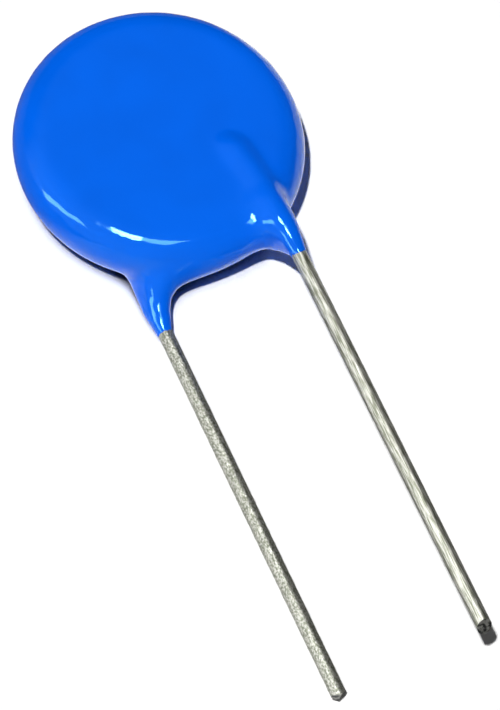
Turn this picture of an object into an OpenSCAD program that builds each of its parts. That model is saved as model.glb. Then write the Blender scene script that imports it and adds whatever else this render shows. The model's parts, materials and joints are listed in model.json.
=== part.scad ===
// Ceramic disc capacitor with a dipped epoxy skin and two straight radial leads.
// It lies on its back: the disc is level and both leads run along -Y.

/* [Ceramic disc] */
// Diameter of the bare ceramic disc
ceramic_d = 13.6; // [10:0.1:18]
// Thickness of the bare ceramic disc
ceramic_t = 2; // [1.2:0.1:3.2]
// Width of the bare ring left round each electrode
electrode_margin = 0.5; // [0.3:0.1:1]
// Thickness of each fired silver electrode
electrode_t = 0.04; // [0.03:0.01:0.1]

/* [Leads] */
// Distance between the axes of the two leads
lead_pitch = 7.5; // [5:0.1:9]
// Diameter of the tinned wire
wire_d = 0.8; // [0.5:0.05:1]
// Length of wire that lies on each electrode
lead_overlap = 2.7; // [1.5:0.1:4]
// Radius of the slow inward bow of the wire under the skin
bow_r = 34; // [25:1:120]
// Bare length of the front lead, from the skin to its cut end
front_lead_length = 22.8; // [5:0.1:30]
// Bare length of the back lead, from the skin to its cut end
back_lead_length = 22; // [5:0.1:30]
// Slope of the two bevels that the cutters leave on each cut end, in degrees
cut_slope = 30; // [10:5:45]

/* [Solder] */
// Thickness of the solder between the wire and its electrode
solder_film = 0.05; // [0.03:0.01:0.2]
// Half width of the solder mound round the wire
solder_reach = 0.95; // [0.7:0.05:1.4]
// Height of the solder mound over the electrode
solder_height = 0.62; // [0.4:0.02:0.7]

/* [Dipped skin] */
// Thickness of the skin over the electrodes
skin_face = 0.76; // [0.5:0.02:1.5]
// Thickness of the skin round the edge of the ceramic
skin_rim = 0.95; // [0.6:0.05:1.6]
// Thickness of the skin over the wires
skin_wire = 0.25; // [0.2:0.02:0.6]
// Thickness of the skin's edge where it ends on a wire
skin_edge = 0.06; // [0.04:0.01:0.15]
// Width of the band over which each flat face rolls off to the rim
roll_off = 1.5; // [1:0.1:2.5]
// Rise of each face at its middle
crown = 0.06; // [0:0.02:0.3]
// How far the skin runs down the front lead below the rim
front_run = 1.35; // [0.8:0.05:3]
// How far the skin runs down the back lead below the rim
back_run = 1.8; // [0.8:0.05:3]
// Length over which the skin thins out on each lead
run_taper = 1.7; // [1:0.1:3]
// How far the web stops short of the rim's lowest point at the front lead
web_lift_front = 0.35; // [0:0.05:0.6]
// How far the web hangs below the rim's lowest point at the back lead
web_drop_back = 0.15; // [0:0.05:1]
// Half thickness of the web at the front lead
web_half_front = 1; // [0.6:0.05:2]
// Half thickness of the web at the back lead
web_half_back = 1; // [0.6:0.05:2]
// Height of the web's middle over the disc's middle, at the front lead
web_rise_front = 0.85; // [0:0.05:1.2]
// Depth of the web's middle below the disc's middle, at the back lead
web_sink_back = 0.8; // [0:0.05:1.5]
// Radius of the web's rounded corner at the front lead, seen from the front
web_round_front = 0.6; // [0.5:0.05:2]
// Radius of the web's rounded corner at the back lead, seen from the front
web_round_back = 1; // [0.5:0.05:2]
// Slope at which the leg on the front lead deepens towards the back face, in degrees
front_gusset = 40; // [0:1:70]
// Slope at which the leg on the back lead deepens towards the front face, in degrees
back_gusset = 15; // [0:1:70]
// Turn of that leg's depth from square to the disc towards the other lead, in degrees
back_turn = 35; // [0:1:90]
// Width of the soft blend between a wire's ridge and the face
ridge_blend = 0.6; // [0.3:0.05:1.2]
// Width of the soft blend between the front leg and the web
leg_blend_front = 1.4; // [0.5:0.05:2.5]
// Width of the soft blend between the back leg and the web
leg_blend_back = 1; // [0.5:0.05:2.5]

/* [Hidden] */
$fn = 96;

// Sizes of the bare parts, measured from the middle of the disc
wire_r = wire_d / 2;
lead_x = lead_pitch / 2;
electrode_r = ceramic_d / 2 - electrode_margin;
electrode_z = ceramic_t / 2 + electrode_t;
lead_z = electrode_z + solder_film + wire_r;

// Sizes of the skin, and where it lets each lead out
skin_r = ceramic_d / 2 + skin_rim;
skin_z = electrode_z + skin_face;
front_start = -(skin_r + front_run);
back_start = -(skin_r + back_run);
front_tip = front_start - front_lead_length;
back_tip = back_start - back_lead_length;

// Height along Y of both wires' inner ends, and the radius of the solder mounds
edge_y = -sqrt(pow(electrode_r, 2) - pow(lead_x, 2));
inner_y = edge_y + lead_overlap;
mound_r = (pow(solder_reach, 2) + pow(solder_height, 2)) / (2 * solder_height);
mound_z = electrode_z + solder_height - mound_r;

// Mean radius of the disc's rolled rim, which turns its share of a unit into a distance
rim_scale = (roll_off + skin_z) / 2;
// Top of the ridges, upper end of the web, and full depth of a leg below its wire
ridge_top = lead_z + wire_r + skin_wire;
web_root = roll_off - skin_r;
gusset_depth = lead_z + web_half_front - wire_r - skin_wire;

// ---- The skin as a field: negative inside, zero on its surface ----

// Minimum of two gaps with a rounded changeover of width k
function soft_min(a, b, k) =
    let (h = max(k - abs(a - b), 0) / k)
    min(a, b) - h * h * k / 4;

function clamp01(t) = max(0, min(1, t));

// A value that changes evenly from the back lead to the front one
function across(back, front, p) = back + (front - back) * clamp01((p[0] / lead_x + 1) / 2);

// The disc with its crowned faces and rolled rim
function disc_gap(p) =
    let (
        r = norm([p[0], p[1]]),
        half = skin_z + crown * (1 - pow(min(r / skin_r, 1), 2)),
        u = max(r - skin_r + roll_off, 0) / roll_off
    )
    (norm([u, p[2] / half]) - 1) * rim_scale;

// The web that sags between the leads, twisted from the back lead to the front one
function web_gap(p) =
    let (
        drop = across(web_drop_back, -web_lift_front, p),
        half = across(web_half_back, web_half_front, p),
        middle = across(-web_sink_back, web_rise_front, p),
        corner = across(web_round_back, web_round_front, p),
        side = max(abs(p[0]) - lead_x + corner, 0),
        down = p[1] - max(corner - skin_r - drop, min(p[1], web_root)),
        rise = (p[2] - middle) * corner / half
    )
    norm([side, down, rise]) - corner;

// Sideways offset from the front wire, which bows inwards above start
function wire_side(p, start) =
    p[1] < start ? p[0] - lead_x : norm([p[0] - lead_x + bow_r, p[1] - start]) - bow_r;

// The ridge of skin round the front wire, and its leg, which deepens towards the back
// in a direction turned from square to the disc
function ridge_gap(p, start, gusset, turn) =
    let (
        up = p[1] - start,
        past = max(-up, p[1] - inner_y, 0),
        skin = skin_edge + (skin_wire - skin_edge) * sin(90 * clamp01(up / run_taper)),
        depth = min(max(up, 0) * tan(gusset), gusset_depth),
        deep = [-sin(turn), -cos(turn)],
        aside = [wire_side(p, start), p[2] - lead_z],
        off = aside - deep * max(0, min(aside * deep, depth))
    )
    norm([off[0], off[1], past]) - wire_r - skin;

function skin_gap(p) =
    let (
        front = ridge_gap(p, front_start, front_gusset, 0),
        back = ridge_gap([-p[0], p[1], -p[2]], back_start, back_gusset, back_turn),
        leg_blend = across(leg_blend_back, leg_blend_front, p)
    )
    soft_min(disc_gap(p), soft_min(web_gap(p), min(front, back), leg_blend), ridge_blend);

// ---- The field's zero surface as a mesh: one point in each cell that it crosses ----

// Cell sizes: fine along the leads and below the disc, coarse on the plain faces
fine = 0.27;
coarse = 0.52;
layer = 0.33;
fine_reach = 1.3;

function step_x(x) = abs(abs(x) - lead_x) < fine_reach ? fine : coarse;
function step_y(y) = y < -skin_r + fine_reach ? fine : coarse;

x_lines = [for (x = -skin_r - coarse; x < skin_r + 2 * coarse; x = x + step_x(x)) x];
y_low = min(front_start, back_start) - wire_d;
y_lines = [for (y = y_low; y < skin_r + 2 * coarse; y = y + step_y(y)) y];
z_high = ridge_top + ridge_blend + layer;
z_lines = [for (z = -z_high; z < z_high + layer; z = z + layer) z];

gaps = [for (x = x_lines) [for (y = y_lines) [for (z = z_lines) skin_gap([x, y, z])]]];
count = [len(x_lines) - 1, len(y_lines) - 1, len(z_lines) - 1];

function gap_at(c) = gaps[c[0]][c[1]][c[2]];
function place_of(c) = [x_lines[c[0]], y_lines[c[1]], z_lines[c[2]]];
function cell_no(c) = (c[0] * count[1] + c[1]) * count[2] + c[2];

AXES = [[1, 0, 0], [0, 1, 0], [0, 0, 1]];
CORNERS = [for (i = [0, 1]) for (j = [0, 1]) for (k = [0, 1]) [i, j, k]];
EDGES = [
    for (axis = AXES)
    for (corner = CORNERS)
    if (corner * axis == 0) [corner, corner + axis]
];

// Where the surface cuts the edge between two grid corners
function cut_point(a, b) =
    let (ga = gap_at(a), gb = gap_at(b))
    place_of(a) + (place_of(b) - place_of(a)) * ga / (ga - gb);

function mean(list) = list * [for (i = list) 1] / len(list);

// Uphill direction of the field, by small differences
probe = 0.01;
function uphill(p, g) = [for (axis = AXES) (skin_gap(p + axis * probe) - g) / probe];

// A point moved square to the surface until it lies on it
function settle(p, turns) =
    turns == 0 ? p :
    let (g = skin_gap(p), up = uphill(p, g))
    settle(p - up * g / (up * up), turns - 1);

cells = [
    for (i = [0:count[0] - 1]) for (j = [0:count[1] - 1]) for (k = [0:count[2] - 1])
    [i, j, k]
];
crossed = [
    for (c = cells)
    let (inside = [for (corner = CORNERS) if (gap_at(c + corner) < 0) 1])
    len(inside) > 0 && len(inside) < len(CORNERS)
];
point_no = [
    for (n = 0, c = 0; n < len(cells); c = c + (crossed[n] ? 1 : 0), n = n + 1) c
];
skin_points = [
    for (n = [0:len(cells) - 1]) if (crossed[n])
    let (
        cuts = [
            for (edge = EDGES)
            let (a = cells[n] + edge[0], b = cells[n] + edge[1])
            if ((gap_at(a) < 0) != (gap_at(b) < 0)) cut_point(a, b)
        ],
        start = [for (axis = AXES) mean([for (cut = cuts) cut * axis])]
    )
    settle(start, 2)
];

// The quad round each grid edge that the surface cuts, split along its shorter diagonal
function quad_faces(q) =
    norm(skin_points[q[0]] - skin_points[q[2]]) < norm(skin_points[q[1]] - skin_points[q[3]])
    ? [[q[0], q[1], q[2]], [q[0], q[2], q[3]]]
    : [[q[1], q[2], q[3]], [q[1], q[3], q[0]]];

skin_faces = [
    for (c = cells) if (min(c) > 0)
    for (n = [0:2])
    let (
        axis = AXES[n],
        u = AXES[(n + 1) % 3],
        v = AXES[(n + 2) % 3],
        inside = gap_at(c) < 0
    )
    if (inside != (gap_at(c + axis) < 0))
    let (
        ring = [c - u - v, c - v, c, c - u],
        q = [for (r = ring) point_no[cell_no(r)]]
    )
    each quad_faces(inside ? [q[3], q[2], q[1], q[0]] : q)
];

// The lowest point of the skin lies on the ground, under the middle of the outline
rest_z = -min([for (p = skin_points) p[2]]);
rest_y = -(skin_r + min(front_tip, back_tip)) / 2;

// ---- Placing ----

module at_rest() {
    translate([0, rest_y, rest_z]) children();
}

// The back of the part is its front turned half a turn about the Y axis
module turned_over() {
    rotate([0, 180, 0]) children();
}

// ---- Bare shapes, on the front side ----

module wire(start, tip, cut_turn) {
    sweep = asin((inner_y - start) / bow_r);
    difference() {
        union() {
            translate([lead_x - bow_r, start, lead_z])
                rotate_extrude(angle = sweep)
                    translate([bow_r, 0])
                        circle(wire_r);
            translate([lead_x, start, lead_z])
                rotate([90, 0, 0])
                    cylinder(r = wire_r, h = start - tip);
        }
        translate([lead_x, tip, lead_z])
            rotate([0, cut_turn, 0])
                for (side = [-1, 1])
                    rotate([0, 0, side * cut_slope])
                        translate([-wire_d, -2 * wire_d, -wire_d])
                            cube(2 * wire_d);
    }
}

// A long mound with tapering ends, cut off flat where it lies on the electrode
module solder_mound(start) {
    along = asin((inner_y - lead_overlap / 2 - start) / bow_r);
    half = lead_overlap / 2 + solder_reach;
    bands = 8;
    outline = [
        for (i = [-bands:bands])
        let (a = 90 * i / bands)
        [max(mound_r * cos(a), 0), half * sin(a)]
    ];
    intersection() {
        translate([lead_x - bow_r, start, mound_z])
            rotate([0, 0, along])
                translate([bow_r, 0, 0])
                    rotate([-90, 0, 0])
                        rotate_extrude()
                            polygon(outline);
        translate([-skin_r, -skin_r, electrode_z])
            cube([2 * skin_r, 2 * skin_r, wire_d + solder_film]);
    }
}

module solder(start, tip) {
    color("gainsboro")
        difference() {
            solder_mound(start);
            wire(start, tip, 0);
        }
}

module electrode() {
    color("whitesmoke")
        translate([0, 0, ceramic_t / 2])
            cylinder(r = electrode_r, h = electrode_t);
}

module bare_disc() {
    color("tan")
        cylinder(d = ceramic_d, h = ceramic_t, center = true);
}

// ---- Sub-parts ----

module coating() {
    color("dodgerblue")
        at_rest()
            difference() {
                polyhedron(skin_points, skin_faces);
                bare_disc();
                electrode();
                turned_over() electrode();
                solder_mound(front_start);
                turned_over() solder_mound(back_start);
                wire(front_start, front_tip, 0);
                turned_over() wire(back_start, back_tip, 0);
            }
}

module ceramic_disc() {
    at_rest() bare_disc();
}

module front_electrode() {
    at_rest() electrode();
}

module back_electrode() {
    at_rest() turned_over() electrode();
}

module front_solder() {
    at_rest() solder(front_start, front_tip);
}

module back_solder() {
    at_rest() turned_over() solder(back_start, back_tip);
}

module front_lead() {
    color("silver")
        at_rest() wire(front_start, front_tip, 90);
}

module back_lead() {
    color("silver")
        at_rest() turned_over() wire(back_start, back_tip, 0);
}

coating();
ceramic_disc();
front_electrode();
back_electrode();
front_solder();
back_solder();
front_lead();
back_lead();
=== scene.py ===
"""Ceramic disc capacitor lying on a pale floor in a small studio.

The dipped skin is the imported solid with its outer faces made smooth. Both
tinned wires are modelled again, with uneven plating and cut ends. The inner
pieces keep their solids and get finishes of their own.
"""
import json
import logging
import math
from dataclasses import dataclass, field
from enum import Enum

import bpy
from mathutils import Matrix, Vector


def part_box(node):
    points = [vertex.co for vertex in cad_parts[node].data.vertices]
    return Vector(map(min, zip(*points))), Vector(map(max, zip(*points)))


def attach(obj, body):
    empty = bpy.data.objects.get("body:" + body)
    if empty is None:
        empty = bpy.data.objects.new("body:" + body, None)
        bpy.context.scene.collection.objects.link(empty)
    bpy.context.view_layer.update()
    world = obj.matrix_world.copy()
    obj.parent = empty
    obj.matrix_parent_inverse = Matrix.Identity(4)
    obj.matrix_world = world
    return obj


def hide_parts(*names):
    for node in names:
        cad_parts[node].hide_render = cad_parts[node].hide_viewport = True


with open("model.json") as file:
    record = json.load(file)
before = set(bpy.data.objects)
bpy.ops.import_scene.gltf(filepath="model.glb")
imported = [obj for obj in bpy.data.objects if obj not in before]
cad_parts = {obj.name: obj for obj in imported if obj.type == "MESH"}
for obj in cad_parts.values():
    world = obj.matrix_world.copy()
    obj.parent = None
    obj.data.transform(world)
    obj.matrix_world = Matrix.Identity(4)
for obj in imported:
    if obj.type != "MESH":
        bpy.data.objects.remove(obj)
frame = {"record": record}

MM = 0.001
CUT_MARK = "cut"
MIX_SOCKETS = {"FLOAT": (2, 3, 0), "RGBA": (6, 7, 2)}
log = logging.getLogger("capacitor")


# ---- Shared helpers ----


def deselect_all() -> None:
    """Leave nothing selected, because operators act on all that is."""
    for thing in bpy.context.selected_objects:
        thing.select_set(False)


def make_active(piece: bpy.types.Object) -> None:
    """Select one piece alone and make it the active one.

    Args:
        piece: the piece that the next operators act on.
    """
    deselect_all()
    piece.select_set(True)
    bpy.context.view_layer.objects.active = piece


def count_triangles(piece: bpy.types.Object) -> int:
    """Return how many triangles a piece's mesh has."""
    piece.data.calc_loop_triangles()
    return len(piece.data.loop_triangles)


def apply_modifier(piece: bpy.types.Object, name: str) -> None:
    """Apply one modifier of a piece by its name."""
    make_active(piece)
    bpy.ops.object.modifier_apply(modifier=name)


def middle_of(node: str) -> Vector:
    """Return the middle of a node's box."""
    low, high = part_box(node)
    return (Vector(low) + Vector(high)) / 2


class NodeSheet:
    """Short hand for laying out the nodes of one tree."""

    def __init__(self, tree: bpy.types.NodeTree, coordinates: str) -> None:
        """Empty the tree and start it with its coordinates.

        Args:
            tree: a material's or the world's node tree.
            coordinates: which coordinates the patterns read.
        """
        tree.nodes.clear()
        self.nodes, self.links = tree.nodes, tree.links
        self.place = self.nodes.new("ShaderNodeTexCoord").outputs[coordinates]

    def link(self, source: bpy.types.NodeSocket, target: bpy.types.NodeSocket) -> None:
        """Join two sockets."""
        self.links.new(source, target)

    def feed(self, source: bpy.types.NodeSocket | float, target: bpy.types.NodeSocket) -> None:
        """Give a socket what another one holds, or a plain number.

        Args:
            source: the socket to read, or the number.
            target: the socket that gets it.
        """
        if isinstance(source, float):
            target.default_value = source
        else:
            self.link(source, target)

    def stretched(self, scale: tuple[float, float, float]) -> bpy.types.NodeSocket:
        """Return the coordinates, scaled along each axis.

        Args:
            scale: factor along X, Y and Z.

        Returns:
            The vector socket to read.
        """
        mapping = self.nodes.new("ShaderNodeMapping")
        mapping.inputs["Scale"].default_value = scale
        self.link(self.place, mapping.inputs["Vector"])
        return mapping.outputs["Vector"]

    def noise(
        self, cell: float, detail: float = 2.0, where: bpy.types.NodeSocket | None = None
    ) -> bpy.types.NodeSocket:
        """Add a noise pattern.

        Args:
            cell: size of the pattern's cells in metres.
            detail: octaves of finer noise.
            where: coordinates to read, or None for the tree's own.

        Returns:
            The socket with the noise value from 0 to 1.
        """
        node = self.nodes.new("ShaderNodeTexNoise")
        node.inputs["Scale"].default_value = 1 / cell
        node.inputs["Detail"].default_value = detail
        self.link(where or self.place, node.inputs["Vector"])
        return node.outputs["Fac"]

    def spread(
        self, value: bpy.types.NodeSocket, source: tuple[float, float], target: tuple[float, float]
    ) -> bpy.types.NodeSocket:
        """Map one range of a value onto another.

        Args:
            value: the socket to read.
            source: low and high end of the range that is read.
            target: what those two ends become.

        Returns:
            The mapped value's socket.
        """
        node = self.nodes.new("ShaderNodeMapRange")
        node.inputs["From Min"].default_value, node.inputs["From Max"].default_value = source
        node.inputs["To Min"].default_value, node.inputs["To Max"].default_value = target
        self.link(value, node.inputs["Value"])
        return node.outputs["Result"]

    def reckon(
        self, operation: str, first: bpy.types.NodeSocket, second: bpy.types.NodeSocket | float
    ) -> bpy.types.NodeSocket:
        """Work out one value from two.

        Args:
            operation: the sum to do, such as SUBTRACT or MAXIMUM.
            first: the first value's socket.
            second: the second value's socket, or a number.

        Returns:
            The result's socket.
        """
        node = self.nodes.new("ShaderNodeMath")
        node.operation = operation
        self.link(first, node.inputs[0])
        self.feed(second, node.inputs[1])
        return node.outputs[0]

    def blend(
        self, value: bpy.types.NodeSocket, low: tuple[float, ...], high: tuple[float, ...]
    ) -> bpy.types.NodeSocket:
        """Turn a value from 0 to 1 into a colour between two.

        Args:
            value: the socket to read.
            low: colour at 0.
            high: colour at 1.

        Returns:
            The colour's socket.
        """
        ramp = self.nodes.new("ShaderNodeValToRGB")
        ramp.color_ramp.elements[0].color = (*low, 1)
        ramp.color_ramp.elements[1].color = (*high, 1)
        self.link(value, ramp.inputs["Fac"])
        return ramp.outputs["Color"]

    def axes(self) -> tuple[bpy.types.NodeSocket, ...]:
        """Split the coordinates.

        Returns:
            The sockets of X, Y and Z.
        """
        split = self.nodes.new("ShaderNodeSeparateXYZ")
        self.link(self.place, split.inputs[0])
        return tuple(split.outputs)

    def mix(
        self, kind: str, factor: bpy.types.NodeSocket, first: bpy.types.NodeSocket,
        second: bpy.types.NodeSocket | float,
    ) -> bpy.types.NodeSocket:
        """Mix two colours or two values.

        Args:
            kind: RGBA for colours or FLOAT for values.
            factor: share of the second one.
            first: the first one's socket.
            second: the second one's socket, or a number.

        Returns:
            The mixed socket.
        """
        node = self.nodes.new("ShaderNodeMix")
        node.data_type = kind
        first_place, second_place, result_place = MIX_SOCKETS[kind]
        self.link(factor, node.inputs[0])
        self.link(first, node.inputs[first_place])
        self.feed(second, node.inputs[second_place])
        return node.outputs[result_place]

    def bump(
        self, height: bpy.types.NodeSocket, depth: float, under: bpy.types.NodeSocket | None = None
    ) -> bpy.types.NodeSocket:
        """Add a bump.

        Args:
            height: the pattern from 0 to 1.
            depth: height in metres that a value of 1 stands for.
            under: another bump's normal that this one lies on.

        Returns:
            The normal's socket.
        """
        node = self.nodes.new("ShaderNodeBump")
        node.inputs["Distance"].default_value = depth
        self.link(height, node.inputs["Height"])
        if under:
            self.link(under, node.inputs["Normal"])
        return node.outputs["Normal"]


class MaterialSheet(NodeSheet):
    """The nodes of one material, which ends in a principled shader."""

    def __init__(self, name: str) -> None:
        """Start a material that has a principled shader only.

        Args:
            name: the material's name.
        """
        self.material = bpy.data.materials.new(name)
        self.material.use_nodes = True
        super().__init__(self.material.node_tree, "Object")
        output = self.nodes.new("ShaderNodeOutputMaterial")
        self.shader = self.nodes.new("ShaderNodeBsdfPrincipled")
        self.link(self.shader.outputs["BSDF"], output.inputs["Surface"])


# ---- Finishes ----

@dataclass(frozen=True)
class DippedEpoxyFinish:
    """Glossy blue epoxy that was dipped, drained and cured."""

    thick: tuple[float, float, float] = (0.0, 0.128, 0.84)
    thin: tuple[float, float, float] = (0.0, 0.118, 0.78)
    cloud: float = 4 * MM
    cloud_range: tuple[float, float] = (0.35, 0.65)
    gloss: float = 0.07
    swell: float = 2.5 * MM
    swell_depth: float = 0.012 * MM
    refraction: float = 1.5
    mirror: float = 0.5
    mirror_tone: tuple[float, float, float] = (0.25, 0.75, 1.0)

    def material(self) -> bpy.types.Material:
        """Return the epoxy's material."""
        sheet = MaterialSheet("dipped_epoxy")
        shader = sheet.shader
        tone = sheet.spread(sheet.noise(self.cloud), self.cloud_range, (0, 1))
        sheet.link(sheet.blend(tone, self.thin, self.thick), shader.inputs["Base Color"])
        shader.inputs["Roughness"].default_value = self.gloss
        shader.inputs["IOR"].default_value = self.refraction
        shader.inputs["Specular IOR Level"].default_value = self.mirror
        shader.inputs["Specular Tint"].default_value = (*self.mirror_tone, 1)
        sheet.link(sheet.bump(sheet.noise(self.swell, 0), self.swell_depth), shader.inputs["Normal"])
        return sheet.material


@dataclass(frozen=True)
class TinnedFinish:
    """Dull hot-dipped tin with grain that runs along the wire, and small bright flats.

    A draw of 1 gives round grain and more gives lines. The cut faces are
    coloured darker, in a torn pattern.
    """

    name: str = "drawn_tin"
    bright: tuple[float, float, float] = (0.54, 0.54, 0.49)
    dull: tuple[float, float, float] = (0.20, 0.21, 0.16)
    cut_face_tone: tuple[float, float, float] = (0.34, 0.34, 0.31)
    cut_face_dark: tuple[float, float, float] = (0.03, 0.03, 0.03)
    grain: float = 0.07 * MM
    draw: float = 14.0
    contrast: tuple[float, float] = (0.4, 0.6)
    roughness: tuple[float, float] = (0.3, 0.55)
    depth: float = 0.014 * MM
    fleck_squeeze: float = 0.6
    fleck_range: tuple[float, float] = (0.3, 0.7)
    tear: float = 3.0
    tear_range: tuple[float, float] = (0.42, 0.6)

    def material(self) -> bpy.types.Material:
        """Return the tin's material."""
        sheet = MaterialSheet(self.name)
        shader = sheet.shader
        lines = sheet.noise(self.grain, 3, sheet.stretched((1, 1 / self.draw, 1)))
        flecks = sheet.noise(self.grain / 2, 1, sheet.stretched((1, self.fleck_squeeze, 1)))
        tone = sheet.blend(sheet.spread(lines, self.contrast, (0, 1)), self.dull, self.bright)
        cut = sheet.nodes.new("ShaderNodeAttribute")
        cut.attribute_name = CUT_MARK
        # the cut faces are coloured darker, in a torn pattern
        torn = sheet.spread(sheet.noise(self.tear * self.grain), self.tear_range, (0, 1))
        cut_face_tone = sheet.blend(torn, self.cut_face_dark, self.cut_face_tone)
        sheet.link(sheet.mix("RGBA", cut.outputs["Fac"], tone, cut_face_tone), shader.inputs["Base Color"])
        shader.inputs["Metallic"].default_value = 1
        sheet.link(sheet.spread(flecks, self.fleck_range, self.roughness), shader.inputs["Roughness"])
        base = sheet.bump(lines, self.depth)
        sheet.link(sheet.bump(flecks, self.depth, base), shader.inputs["Normal"])
        return sheet.material


@dataclass(frozen=True)
class PlainFinish:
    """A plain finish of one of the inner pieces.

    Fields give the tone of its low and high spots, the size of its grain,
    whether it is metal, how rough it is and how deep its grain goes.
    """

    name: str
    low: tuple[float, float, float]
    high: tuple[float, float, float]
    grain: float
    metal: float
    rough: tuple[float, float]
    depth: float
    grain_range: tuple[float, float] = (0.3, 0.7)

    def material(self) -> bpy.types.Material:
        """Return the finish's material."""
        sheet = MaterialSheet(self.name)
        shader = sheet.shader
        grain = sheet.noise(self.grain, 4)
        tone = sheet.spread(grain, self.grain_range, (0, 1))
        sheet.link(sheet.blend(tone, self.low, self.high), shader.inputs["Base Color"])
        shader.inputs["Metallic"].default_value = self.metal
        sheet.link(sheet.spread(grain, self.grain_range, self.rough), shader.inputs["Roughness"])
        sheet.link(sheet.bump(grain, self.depth), shader.inputs["Normal"])
        return sheet.material


CERAMIC = PlainFinish(
    "sintered_ceramic", (0.50, 0.37, 0.25), (0.60, 0.46, 0.33), 0.3 * MM, 0, (0.7, 0.85), 0.01 * MM
)
SILVER = PlainFinish(
    "fired_silver", (0.72, 0.71, 0.68), (0.88, 0.87, 0.84), 0.15 * MM, 1, (0.4, 0.6), 0.004 * MM
)
SOLDER = PlainFinish(
    "set_solder", (0.55, 0.56, 0.57), (0.72, 0.73, 0.74), 0.4 * MM, 1, (0.2, 0.4), 0.01 * MM
)


GRAINY_TIN = TinnedFinish(
    name="grainy_tin", bright=(0.43, 0.43, 0.39), dull=(0.17, 0.18, 0.14),
    grain=0.08 * MM, draw=1.6, contrast=(0.4, 0.6),
)


# ---- The dipped skin ----

@dataclass
class DippedSkin:
    """The epoxy skin, with its ridges over the wires, its web and its two legs."""

    node: str = "coating"
    name: str = "dipped_skin"
    weld: float = 0.0005 * MM
    lip_angle: float = 60
    flat_angle: float = 0.5
    levels: int = 2
    finish: DippedEpoxyFinish = field(default_factory=DippedEpoxyFinish)

    def build(self) -> bpy.types.Object:
        """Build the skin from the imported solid.

        Returns:
            The finished piece.
        """
        piece = self._copy_solid()
        self._crease_inner_walls(piece)
        self._smooth_outside(piece)
        return piece

    def _copy_solid(self) -> bpy.types.Object:
        """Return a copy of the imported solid, with its triangles joined."""
        source = bpy.data.objects[self.node]
        piece = bpy.data.objects.new(self.name, source.data.copy())
        piece.data.name = self.name
        bpy.context.scene.collection.objects.link(piece)
        make_active(piece)
        bpy.ops.object.mode_set(mode="EDIT")
        bpy.ops.mesh.select_all(action="SELECT")
        bpy.ops.mesh.remove_doubles(threshold=self.weld)
        bpy.ops.mesh.customdata_custom_splitnormals_clear()
        bpy.ops.mesh.select_all(action="DESELECT")
        bpy.ops.object.mode_set(mode="OBJECT")
        return piece

    def _crease_inner_walls(self, piece: bpy.types.Object) -> None:
        """Keep the walls round the inner pieces and the wires as they are.

        The outside is what the top face reaches without crossing a sharp
        edge. Its triangles become quads, and all other edges get a full
        crease.

        Args:
            piece: the copied solid.
        """
        self._select_outside(piece)
        bpy.ops.mesh.tris_convert_to_quads(
            face_threshold=math.radians(self.lip_angle), shape_threshold=math.radians(self.lip_angle)
        )
        bpy.ops.mesh.select_all(action="INVERT")
        bpy.ops.transform.edge_crease(value=1)
        bpy.ops.mesh.select_all(action="DESELECT")
        bpy.ops.object.mode_set(mode="OBJECT")

    def _select_outside(self, piece: bpy.types.Object) -> None:
        """Select the faces that the top face reaches without crossing a sharp edge.

        Args:
            piece: the skin, which stays in edit mode.
        """
        top = max(piece.data.polygons, key=lambda face: face.center.z)
        top.select = True
        make_active(piece)
        bpy.ops.object.mode_set(mode="EDIT")
        bpy.ops.mesh.select_mode(type="FACE")
        bpy.ops.mesh.faces_select_linked_flat(sharpness=math.radians(self.lip_angle))

    def _smooth_outside(self, piece: bpy.types.Object) -> None:
        """Round off the outside by subdivision and shade it smooth.

        The flat inner walls join up again, as they need no small faces.

        Args:
            piece: the creased skin.
        """
        rounding = piece.modifiers.new("rounding", "SUBSURF")
        rounding.levels = rounding.render_levels = self.levels
        apply_modifier(piece, rounding.name)
        self._select_outside(piece)
        bpy.ops.mesh.select_all(action="INVERT")
        bpy.ops.mesh.dissolve_limited(angle_limit=math.radians(self.flat_angle))
        bpy.ops.mesh.select_all(action="DESELECT")
        bpy.ops.object.mode_set(mode="OBJECT")
        bpy.ops.object.shade_smooth_by_angle(angle=math.radians(self.lip_angle / 2))

    def dress(self, piece: bpy.types.Object) -> None:
        """Give the skin its finish and put it in the solid's place.

        Args:
            piece: the finished skin.
        """
        piece.data.materials.clear()
        piece.data.materials.append(self.finish.material())
        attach(piece, "root")
        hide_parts(self.node)


# ---- The tinned wires ----

class CutShape(Enum):
    """Shape that the cutters leave at a wire's end.

    A value holds the directions that the bevels turn to, and the side of
    the wire that they start from.
    """

    PINCHED = (((-1, 0, 0), (1, 0, 0)), (0, 0, 0))
    SLANTED = (((0, 0, 1),), (0, 0, -1))


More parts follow.
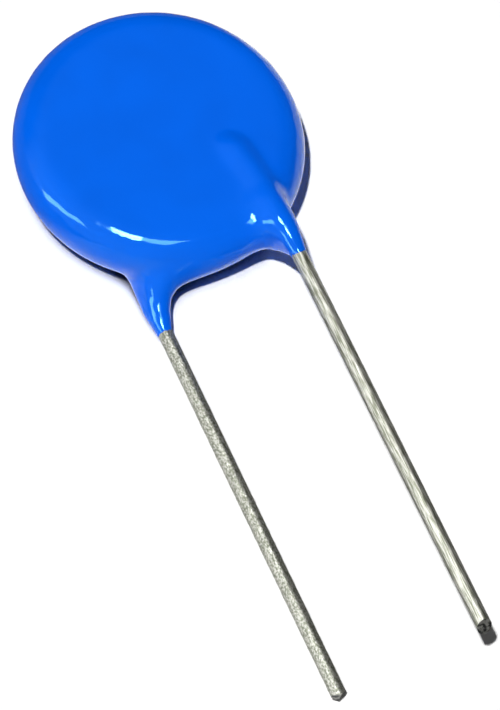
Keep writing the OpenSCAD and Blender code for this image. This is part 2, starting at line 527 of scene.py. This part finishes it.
@dataclass
class TinnedWire:
    """One straight lead, bowed inwards under the skin, with a cut end."""

    node: str
    mount: str
    inwards: int
    shape: CutShape
    sides: int = 48
    ring_step: float = 0.12 * MM
    bow_radius: float = 34 * MM
    bow_steps: int = 12
    slope: float = 30
    cut_facing: float = 0.5
    shade_angle: float = 25
    dross: float = 0.012 * MM
    lump: float = 0.35 * MM
    finish: TinnedFinish = field(default_factory=TinnedFinish)

    def __post_init__(self) -> None:
        """Work out the wire's place from its node and its mount."""
        low, high = (Vector(corner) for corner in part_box(self.node))
        mounts = {row["name"]: row for row in frame["record"]["mounts"]}
        row = mounts[self.mount]
        self.start = Vector(row["pos_m"])
        self.radius = row["dims"]["r_mm"] * MM
        self.tip = low.y
        self.sweep = math.asin((high.y - self.start.y) / (self.bow_radius + self.radius))

    def build(self) -> bpy.types.Object:
        """Model the wire.

        Returns:
            The finished piece.
        """
        piece = self._straight_stretch()
        self._bow_under_skin(piece)
        self._cut_end(piece)
        self._roughen(piece)
        self._mark_cut(piece)
        return piece

    def _straight_stretch(self) -> bpy.types.Object:
        """Return the bare stretch, and a stub to cut off, as a cylinder of short rings."""
        length = self.start.y - self.tip + self.radius
        deselect_all()
        bpy.ops.mesh.primitive_cylinder_add(
            vertices=self.sides,
            radius=self.radius,
            depth=length,
            location=(self.start.x, self.start.y - length / 2, self.start.z),
            rotation=(math.pi / 2, 0, 0),
        )
        piece = bpy.context.active_object
        piece.name = piece.data.name = self.node.replace("lead", "wire")
        bpy.ops.object.transform_apply(location=True, rotation=True, scale=True)
        bpy.ops.object.mode_set(mode="EDIT")
        bpy.ops.mesh.select_all(action="DESELECT")
        bpy.ops.mesh.select_mode(type="EDGE")
        bpy.ops.object.mode_set(mode="OBJECT")
        points = piece.data.vertices
        for edge in piece.data.edges:
            ends = [points[index].co.y for index in edge.vertices]
            edge.select = abs(ends[0] - ends[1]) > length / 2
        bpy.ops.object.mode_set(mode="EDIT")
        bpy.ops.mesh.subdivide(number_cuts=round(length / self.ring_step) - 1)
        bpy.ops.mesh.select_all(action="DESELECT")
        bpy.ops.object.mode_set(mode="OBJECT")
        return piece

    def _bow_under_skin(self, piece: bpy.types.Object) -> None:
        """Spin the inner end round the slow bow that follows the straight stretch.

        Args:
            piece: the straight stretch.
        """
        make_active(piece)
        bpy.ops.object.mode_set(mode="EDIT")
        bpy.ops.mesh.select_mode(type="FACE")
        bpy.ops.mesh.select_all(action="DESELECT")
        bpy.ops.object.mode_set(mode="OBJECT")
        cap = max(piece.data.polygons, key=lambda face: face.center.y)
        cap.select = True
        bpy.ops.object.mode_set(mode="EDIT")
        bpy.ops.mesh.delete(type="ONLY_FACE")
        bpy.ops.object.mode_set(mode="OBJECT")
        piece.data.update()
        limit = self.start.y - self.ring_step / 4
        for edge in piece.data.edges:
            edge.select = all(piece.data.vertices[i].co.y > limit for i in edge.vertices)
        bpy.ops.object.mode_set(mode="EDIT")
        bpy.ops.mesh.select_mode(type="EDGE")
        bpy.ops.mesh.spin(
            steps=self.bow_steps,
            angle=self.inwards * self.sweep,
            center=(self.start.x + self.inwards * self.bow_radius, self.start.y, self.start.z),
            axis=(0, 0, 1),
        )
        bpy.ops.mesh.edge_face_add()
        bpy.ops.mesh.select_all(action="SELECT")
        bpy.ops.mesh.normals_make_consistent(inside=False)
        bpy.ops.mesh.select_all(action="DESELECT")
        bpy.ops.object.mode_set(mode="OBJECT")

    def _cut_end(self, piece: bpy.types.Object) -> None:
        """Cut the bare end to its bevels.

        Args:
            piece: the bowed wire.
        """
        bevels, start = self.shape.value
        foot = Vector((self.start.x, self.tip, self.start.z)) + Vector(start) * self.radius
        slope = math.radians(self.slope)
        make_active(piece)
        for bevel in bevels:
            outwards = Vector(bevel) * math.sin(slope) + Vector((0, -math.cos(slope), 0))
            bpy.ops.object.mode_set(mode="EDIT")
            bpy.ops.mesh.select_all(action="SELECT")
            bpy.ops.mesh.bisect(
                plane_co=foot, plane_no=outwards, use_fill=True, clear_outer=True, threshold=1e-9
            )
            bpy.ops.mesh.select_all(action="DESELECT")
            bpy.ops.object.mode_set(mode="OBJECT")

    def _roughen(self, piece: bpy.types.Object) -> None:
        """Push the bare stretch in and out a little, as the plating is uneven.

        Args:
            piece: the cut wire.
        """
        bare = piece.vertex_groups.new(name="bare")
        fade = self.radius
        for point in piece.data.vertices:
            depth = min(self.start.y - fade - point.co.y, point.co.y - self.tip - fade)
            bare.add([point.index], max(0.0, min(1.0, depth / fade)), "REPLACE")
        pattern = bpy.data.textures.new(piece.name + "_dross", "CLOUDS")
        pattern.noise_scale = self.lump
        pattern.noise_depth = 2
        push = piece.modifiers.new("dross", "DISPLACE")
        push.texture = pattern
        push.texture_coords = "LOCAL"
        push.vertex_group = bare.name
        push.strength = 2 * self.dross
        push.mid_level = 0.5
        apply_modifier(piece, push.name)
        piece.vertex_groups.clear()
        bpy.ops.object.shade_smooth_by_angle(angle=math.radians(self.shade_angle))

    def _mark_cut(self, piece: bpy.types.Object) -> None:
        """Mark the cut faces, which the finish shows darker.

        Args:
            piece: the rough wire.
        """
        mark = piece.data.attributes.new(CUT_MARK, "FLOAT", "FACE")
        for face in piece.data.polygons:
            mark.data[face.index].value = float(-face.normal.y > self.cut_facing)

    def dress(self, piece: bpy.types.Object) -> None:
        """Give the wire its finish and put it in the lead's place.

        Args:
            piece: the finished wire.
        """
        piece.data.materials.clear()
        piece.data.materials.append(self.finish.material())
        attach(piece, "root")
        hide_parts(self.node)


# ---- The pieces inside the skin ----

@dataclass
class InnerPieces:
    """Ceramic disc, fired electrodes and solder mounds, kept as packed."""

    finishes: dict[str, PlainFinish] = field(
        default_factory=lambda: {
            "ceramic_disc": CERAMIC,
            "front_electrode": SILVER,
            "back_electrode": SILVER,
            "front_solder": SOLDER,
            "back_solder": SOLDER,
        }
    )

    def dress(self) -> None:
        """Put each inner piece's finish in its material slot."""
        for node, finish in self.finishes.items():
            piece = bpy.data.objects[node]
            material = bpy.data.materials.get(finish.name) or finish.material()
            if not piece.material_slots:
                piece.data.materials.append(None)
            for slot in piece.material_slots:
                slot.link = "OBJECT"
                slot.material = material
            log.info("%s keeps its solid, finish %s", node, finish.name)


# ---- Studio ----

@dataclass
class SoftBox:
    """A rectangular soft light, given by how large and how bright it looks.

    Towards and along are the directions to the light and of its first side,
    and spans are its two sides as degrees.
    """

    name: str
    towards: tuple[float, float, float]
    along: tuple[float, float, float]
    spans: tuple[float, float]
    level: float
    distance: float = 1.5
    mirrored: bool = True
    lighting: bool = True

    def hang(self, target: Vector) -> None:
        """Hang the light so that it faces the target.

        Args:
            target: the place that the light looks at.
        """
        back = Vector(self.towards).normalized()
        long_side = Vector(self.along)
        long_side = (long_side - back * long_side.dot(back)).normalized()
        width, height = (2 * self.distance * math.tan(math.radians(span / 2)) for span in self.spans)
        data = bpy.data.lights.new(self.name, "AREA")
        data.shape = "RECTANGLE"
        data.size, data.size_y = width, height
        data.energy = self.level * math.pi * width * height
        lamp = bpy.data.objects.new(self.name, data)
        lamp.visible_glossy = self.mirrored
        lamp.visible_diffuse = self.lighting
        bpy.context.scene.collection.objects.link(lamp)
        turn = Matrix((long_side, back.cross(long_side), back)).transposed().to_4x4()
        lamp.matrix_world = Matrix.Translation(target + back * self.distance) @ turn
        log.info("%s hung, %.2f by %.2f m", self.name, width, height)


@dataclass
class Studio:
    """White floor, dim sky and soft lights.

    The key light makes the real shadow and isn't mirrored. The other lights are
    only mirrored, as the streaks on the skin. The floor's colour also holds
    painted shade: the camera sees it darkened close under the object, and gloss
    sees it painted dark, a painted shadow, between the wires, beside them and
    behind the disc. A strip's stop is a place across the floor and how free of
    painted shadow the floor is there.
    """

    floor_half: float = 1.5
    # painted shade: the floor's colour darkens within this reach of the object, read from ambient
    # occlusion
    painted_shade_reach: float = 6 * MM
    painted_shade_range: tuple[float, float] = (0.3, 0.45)
    painted_shade_tone: float = 0.03
    # painted shadow that only gloss sees: the floor's tone in strips along the wires, and behind the
    # disc
    gloss_shade_tone: float = 0.18
    gloss_shade_strips: tuple[tuple[float, float], ...] = (
        (-4.0 * MM, 1), (-3.4 * MM, 0), (-0.8 * MM, 0), (-0.3 * MM, 0.25), (3.4 * MM, 0.25),
        (3.8 * MM, 1), (4.7 * MM, 1), (5.2 * MM, 0),
    )
    strip_span: float = 8 * MM
    gloss_shade_back: tuple[float, float] = (2.8 * MM, 3.6 * MM)
    gloss_shade_behind: tuple[float, float] = (13 * MM, 17 * MM)
    gloss_shade_turn: float = 0.6
    sky_span: tuple[float, float] = (-0.7, 0.6)
    sky_tones: tuple[float, float] = (1.0, 0.07)
    sky_back: tuple[float, float] = (0.5, 0.7)
    sky_back_tone: float = 0.05
    sky_light: float = 0.05
    lights: tuple[SoftBox, ...] = (
        SoftBox("key", (-0.312, -0.127, 0.94), (1, 0, 0), (2, 2), 2700, mirrored=False),
        SoftBox("main_core", (-0.18, -0.13, 0.96), (0.17, -0.12, 0), (10, 17), 70, lighting=False),
        SoftBox("main_strip", (-0.10, -0.18, 0.97), (0.27, -0.40, 0), (26, 14), 12, lighting=False),
        SoftBox("left_window", (-0.92, 0, 0.38), (0.21, -0.44, 0.42), (36, 11), 12, lighting=False),
    )

    def build(self) -> None:
        """Lay the floor, light the world and hang the lights."""
        target = middle_of("ceramic_disc")
        self._lay_floor()
        self._light_world()
        for light in self.lights:
            light.hang(target)

    def _lay_floor(self) -> None:
        """Lay the white floor, which stays out of the object.

        Its colour is painted dark close under the object, a painted shade made
        from ambient occlusion that the camera sees.
        """
        deselect_all()
        bpy.ops.mesh.primitive_plane_add(size=2 * self.floor_half)
        floor = bpy.context.active_object
        floor.name = floor.data.name = "floor"
        sheet = MaterialSheet("white_floor")
        near = sheet.nodes.new("ShaderNodeAmbientOcclusion")
        near.inputs["Distance"].default_value = self.painted_shade_reach
        path = sheet.nodes.new("ShaderNodeLightPath")
        glossy = sheet.reckon(
            "MAXIMUM", path.outputs["Is Glossy Ray"], path.outputs["Is Transmission Ray"]
        )
        # painted shade: camera rays see the floor's colour darkened by occlusion close under the object
        shade = sheet.spread(near.outputs["AO"], self.painted_shade_range, (self.painted_shade_tone, 1))
        tone = sheet.mix("FLOAT", path.outputs["Is Camera Ray"], self._painted_gloss_shade(sheet, glossy), shade)
        sheet.link(sheet.blend(tone, (0, 0, 0), (1, 1, 1)), sheet.shader.inputs["Base Color"])
        sheet.shader.inputs["Roughness"].default_value = 0.9
        sheet.shader.inputs["Specular IOR Level"].default_value = 0
        floor.data.materials.append(sheet.material)

    def _painted_gloss_shade(
        self, sheet: MaterialSheet, glossy: bpy.types.NodeSocket
    ) -> bpy.types.NodeSocket:
        """Return how bright rays see the floor, with the painted shadow that only gloss sees.

        Args:
            sheet: the floor's material.
            glossy: the socket that is 1 for gloss.

        Returns:
            The tone's socket, 1 for every other ray.
        """
        across, along, _ = sheet.axes()
        beside = sheet.reckon(
            "MAXIMUM",
            self._strip_tone(sheet, across),
            sheet.spread(along, self.gloss_shade_back, (self.gloss_shade_tone, 1)),
        )
        slant = sheet.reckon(
            "SUBTRACT", along, sheet.reckon("MULTIPLY", across, self.gloss_shade_turn)
        )
        behind = sheet.spread(slant, self.gloss_shade_behind, (1, self.gloss_shade_tone))
        # painted shadow for gloss rays: dark floor strips beside the wires and the area behind the disc
        gloss_shade = sheet.reckon("MULTIPLY", beside, behind)
        other_rays = sheet.spread(glossy, (0, 1), (1, 0))
        return sheet.mix("FLOAT", other_rays, gloss_shade, 1.0)

    def _strip_tone(
        self, sheet: MaterialSheet, across: bpy.types.NodeSocket
    ) -> bpy.types.NodeSocket:
        """Return the painted shadow that gloss sees on strips along the wires.

        Args:
            sheet: the floor's material.
            across: the socket that reads X.

        Returns:
            The tone's socket.
        """
        node = sheet.nodes.new("ShaderNodeValToRGB")
        stops = node.color_ramp.elements
        stops[0].color = (1, 1, 1, 1)
        stops[1].color = (self.gloss_shade_tone, self.gloss_shade_tone, self.gloss_shade_tone, 1)
        for edge, level in self.gloss_shade_strips:
            tone = self.gloss_shade_tone + (1 - self.gloss_shade_tone) * level
            stops.new(0.5 + edge / (2 * self.strip_span)).color = (tone, tone, tone, 1)
        span = (-self.strip_span, self.strip_span)
        sheet.link(sheet.spread(across, span, (0, 1)), node.inputs["Fac"])
        return node.outputs["Color"]

    def _light_world(self) -> None:
        """Give the world a faint light, and show gloss a sky that darkens to the right."""
        scene = bpy.context.scene
        scene.world = scene.world or bpy.data.worlds.new("studio")
        scene.world.use_nodes = True
        sheet = NodeSheet(scene.world.node_tree, "Generated")
        output = sheet.nodes.new("ShaderNodeOutputWorld")
        sky = sheet.nodes.new("ShaderNodeBackground")
        sheet.link(sky.outputs[0], output.inputs["Surface"])
        across, along, _ = sheet.axes()
        level = sheet.reckon(
            "MULTIPLY",
            sheet.spread(across, self.sky_span, self.sky_tones),
            sheet.spread(along, self.sky_back, (1, self.sky_back_tone)),
        )
        path = sheet.nodes.new("ShaderNodeLightPath")
        for kind, tone in (("Is Diffuse Ray", self.sky_light), ("Is Camera Ray", 1.0)):
            level = sheet.mix("FLOAT", path.outputs[kind], level, tone)
        sheet.link(level, sky.inputs["Strength"])


@dataclass
class ViewCamera:
    """The camera, placed round the middle of the ceramic disc.

    Angles are in degrees: turn round Z from the front, height over the floor
    and roll. The aim is the point under the picture's middle.
    """

    turn: float = -37.79
    height: float = 62.53
    roll: float = 15.16
    distance: float = 219.8 * MM
    aim: tuple[float, float, float] = (-0.59 * MM, -13.04 * MM, 0)
    lens: float = 216.2
    sensor: float = 36

    def place(self) -> None:
        """Create the camera and make it the scene's."""
        turn, height, roll = (math.radians(a) for a in (self.turn, self.height, self.roll))
        back = Vector(
            (math.sin(turn) * math.cos(height), -math.cos(turn) * math.cos(height), math.sin(height))
        )
        level = Vector((0, 0, 1)).cross(back).normalized()
        rise = back.cross(level)
        right = math.cos(roll) * level + math.sin(roll) * rise
        up = math.cos(roll) * rise - math.sin(roll) * level
        data = bpy.data.cameras.new("view")
        data.lens, data.sensor_width = self.lens, self.sensor
        data.clip_start, data.clip_end = 1 * MM, 10
        camera = bpy.data.objects.new("view", data)
        bpy.context.scene.collection.objects.link(camera)
        spot = middle_of("ceramic_disc") + Vector(self.aim) + back * self.distance
        camera.matrix_world = Matrix.Translation(spot) @ Matrix((right, up, back)).transposed().to_4x4()
        bpy.context.scene.camera = camera


# ---- Main ----

def main() -> None:
    """Build, dress and light the capacitor, and report each piece."""
    logging.basicConfig(level=logging.INFO, format="%(message)s")
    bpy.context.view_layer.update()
    bpy.context.scene.view_settings.view_transform = "Standard"
    ViewCamera().place()
    Studio().build()
    InnerPieces().dress()
    parts = (
        DippedSkin(),
        TinnedWire("front_lead", "front_lead_pin", inwards=-1, shape=CutShape.SLANTED),
        TinnedWire(
            "back_lead", "back_lead_pin", inwards=1, shape=CutShape.PINCHED,
            dross=0.022 * MM, lump=0.22 * MM, finish=GRAINY_TIN,
        ),
    )
    for part in parts:
        piece = part.build()
        part.dress(piece)
        log.info("%s built, %d triangles", piece.name, count_triangles(piece))


if __name__ == "__main__":
    main()
